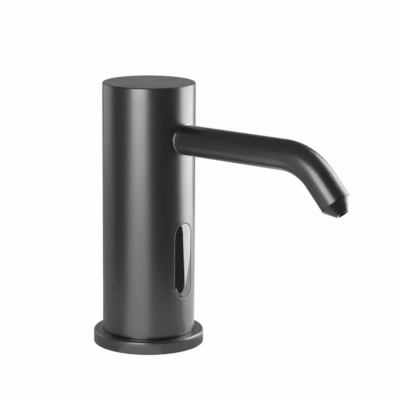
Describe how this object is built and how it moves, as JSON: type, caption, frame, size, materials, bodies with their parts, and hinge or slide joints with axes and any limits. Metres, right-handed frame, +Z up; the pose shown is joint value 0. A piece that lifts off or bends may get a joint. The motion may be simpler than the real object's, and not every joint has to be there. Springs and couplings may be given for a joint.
{
  "type": "automatic soap dispenser",
  "caption": "Deck-mounted touch-free soap dispenser: round column, round foot, thin bent spout and a tall sensor window; a geared pump works inside.",
  "frame": {"origin": "on the column's axis, in the plane of the deck that the foot stands on", "axes": "+Z up along the column; the spout and the sensor window face -Y; +X completes the frame"},
  "size_m": [0.0504, 0.1336, 0.12],
  "materials": {
    "gunmetal_coat": "satin gunmetal coat",
    "collar_metal": "dark satin steel",
    "black_rubber": "matte",
    "clear_silicone": "translucent silicone, shown opaque",
    "white_acetal": "moulded",
    "black_plastic": "moulded",
    "smoked_lens": "polished, infrared passes",
    "plain_steel": "plain",
    "brass": "turned",
    "sintered_bronze": "sintered, oiled",
    "wound_copper": "enamelled copper on iron",
    "ferrite": "pressed ferrite",
    "circuit_board": "solder mask",
    "infrared_diode": "dark epoxy",
    "red_lamp": "tinted epoxy",
    "cable_jacket": "matte"
  },
  "bodies": {
    "housing": {"body_shell": "gunmetal_coat", "base_flange": "gunmetal_coat", "spout_tube": "gunmetal_coat", "nozzle_tip": "gunmetal_coat", "spout_collar": "collar_metal", "deck_gasket": "black_rubber", "shell_oring": "black_rubber", "nozzle_oring": "black_rubber", "spout_saddle_washer": "black_rubber", "cable_gland": "black_rubber", "shaft_seal": "black_rubber", "pump_gasket": "black_rubber", "lens_gasket": "black_rubber", "shell_grub_screw": "plain_steel", "spout_lock_nut": "plain_steel", "valve_spring": "plain_steel", "chassis_screw_1": "plain_steel", "chassis_screw_2": "plain_steel", "bracket_screw": "plain_steel", "motor_screw_1": "plain_steel", "motor_screw_2": "plain_steel", "pump_screw_1": "plain_steel", "pump_screw_2": "plain_steel", "pump_screw_3": "plain_steel", "pump_screw_4": "plain_steel", "motor_can": "plain_steel", "driven_gear_pin": "plain_steel", "sensor_bracket": "plain_steel", "nozzle_adapter": "white_acetal", "chassis": "white_acetal", "motor_end_cap": "white_acetal", "pump_plate": "white_acetal", "pump_housing": "white_acetal", "delivery_tube": "clear_silicone", "supply_tube": "clear_silicone", "supply_connector": "black_plastic", "sensor_housing": "black_plastic", "sensor_holder": "black_plastic", "outlet_barb": "brass", "front_bush": "sintered_bronze", "rear_bush": "sintered_bronze", "motor_brush_1": "wound_copper", "motor_brush_2": "wound_copper", "motor_magnet_1": "ferrite", "motor_magnet_2": "ferrite", "sensor_board": "circuit_board", "ir_emitter": "infrared_diode", "ir_receiver": "infrared_diode", "indicator_led": "red_lamp", "sensor_lens": "smoked_lens", "control_lead": "cable_jacket", "motor_lead": "cable_jacket"},
    "pump_rotor": {"motor_shaft": "plain_steel", "armature": "wound_copper", "commutator": "wound_copper", "drive_gear": "brass"},
    "driven_gear": {"driven_gear": "brass"},
    "valve_poppet": {"valve_poppet": "white_acetal"}
  },
  "joints": [
    {"name": "pump_drive_spin", "type": "hinge", "parent": "housing", "child": "pump_rotor", "pos_m": [-0.00455, 0.0045, 0.03], "axis": [0, 0, 1], "continuous": true},
    {"name": "driven_gear_spin", "type": "hinge", "parent": "housing", "child": "driven_gear", "pos_m": [0.00455, 0.0045, 0.045], "axis": [0, 0, 1], "continuous": true},
    {"name": "valve_poppet_slide", "type": "slide", "parent": "housing", "child": "valve_poppet", "axis": [0, -0.6691, -0.7431], "range_m": [0, 0.001], "stiffness_N_per_m": 120, "springref_m": -0.001, "deforming": ["valve_spring"]}
  ],
  "couplings": [
    {"joint": "driven_gear_spin", "follows": "pump_drive_spin", "ratio": -1}
  ]
}
